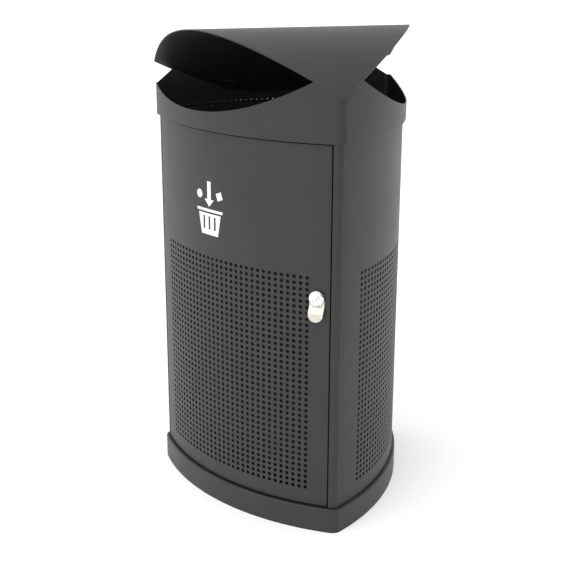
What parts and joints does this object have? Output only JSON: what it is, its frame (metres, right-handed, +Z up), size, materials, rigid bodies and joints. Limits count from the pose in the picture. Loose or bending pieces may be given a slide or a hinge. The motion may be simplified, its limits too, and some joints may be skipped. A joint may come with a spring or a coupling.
{
  "type": "litter bin",
  "caption": "Free-standing three-sided steel litter bin with a hinged perforated door, curved roof, two side mouths and a lift-out liner.",
  "frame": {"origin": "centre of the three-sided plan, on the underside of the floor plate where the bin stands", "axes": "+Z up; the front corner points to -Y, so the door is the wall towards -X and -Y, and the rear wall faces +Y"},
  "size_m": [0.485, 0.486, 0.904],
  "materials": {
    "powder_coat": "satin anthracite powder coat on steel sheet",
    "liner_coat": "matt black powder coat on steel sheet",
    "stainless": "brushed stainless steel",
    "chrome": "bright chrome plate",
    "zinc": "bright zinc plate",
    "rubber": "moulded EPDM",
    "nylon": "black nylon",
    "vinyl": "cut white vinyl film"
  },
  "bodies": {
    "root": {"bag_rail": "powder_coat", "base_plate": "powder_coat", "base_ring": "powder_coat", "collar": "powder_coat", "collar_nuts": "zinc", "collar_screws": "powder_coat", "door_buffers": "rubber", "hinge_bracket_lower": "powder_coat", "hinge_bracket_upper": "powder_coat", "hinge_pin_lower": "stainless", "hinge_pin_upper": "stainless", "hinge_washer": "nylon", "liner": "liner_coat", "post_front": "powder_coat", "post_left": "powder_coat", "post_right": "powder_coat", "rear_panel": "powder_coat", "roof": "powder_coat", "roof_bracket_front": "powder_coat", "roof_bracket_left": "powder_coat", "roof_bracket_right": "powder_coat", "side_panel": "powder_coat", "top_frame": "powder_coat"},
    "door": {"door_skin": "powder_coat", "door_stiffener": "powder_coat", "litter_symbol": "vinyl", "pull_tab": "stainless", "lock_barrel": "chrome", "lock_nut": "zinc"},
    "lock": {"lock_plug": "chrome", "lock_cam": "zinc", "cam_screw": "zinc"}
  },
  "joints": [
    {"name": "door_swing", "type": "hinge", "parent": "root", "child": "door", "pos_m": [-0.23034, 0.11153, 0.4], "axis": [0, 0, -1], "range_deg": [0, 110]},
    {"name": "lock_turn", "type": "hinge", "parent": "door", "child": "lock", "pos_m": [-0.03293, -0.25164, 0.457], "axis": [-0.5698, -0.8218, 0], "range_deg": [0, 90]}
  ]
}
